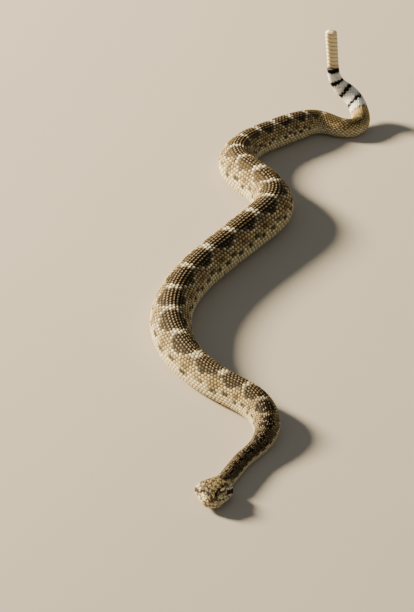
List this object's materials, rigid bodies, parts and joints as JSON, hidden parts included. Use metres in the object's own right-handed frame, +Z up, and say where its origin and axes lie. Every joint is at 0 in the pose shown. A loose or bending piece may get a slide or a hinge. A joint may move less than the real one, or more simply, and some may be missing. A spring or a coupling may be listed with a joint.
{
  "type": "western diamondback rattlesnake",
  "caption": "Western diamondback rattlesnake at rest in wide bends on the floor, head to the front and rattle raised.",
  "frame": {"origin": "on the floor, under the middle of the whole animal's box", "axes": "+Z up; +Y from the head end towards the tail end, away from the viewer; +X to the viewer's right"},
  "size_m": [0.2578, 0.892, 0.1134],
  "materials": {
    "scaly": "matte",
    "crown": "matte",
    "lips": "matte",
    "ringed": "matte",
    "horn": "satin",
    "eye": "glossy"
  },
  "bodies": {
    "root": {"head": "crown", "lower_jaw": "lips", "eye_left": "eye", "eye_right": "eye", "neck": "scaly", "body_1": "scaly", "body_2": "scaly", "body_3": "scaly", "body_4": "scaly", "body_5": "scaly", "body_6": "scaly", "body_7": "scaly", "body_8": "scaly", "body_9": "scaly", "body_10": "scaly", "body_11": "scaly", "body_12": "scaly", "tail": "ringed", "rattle": "horn"}
  },
  "joints": []
}
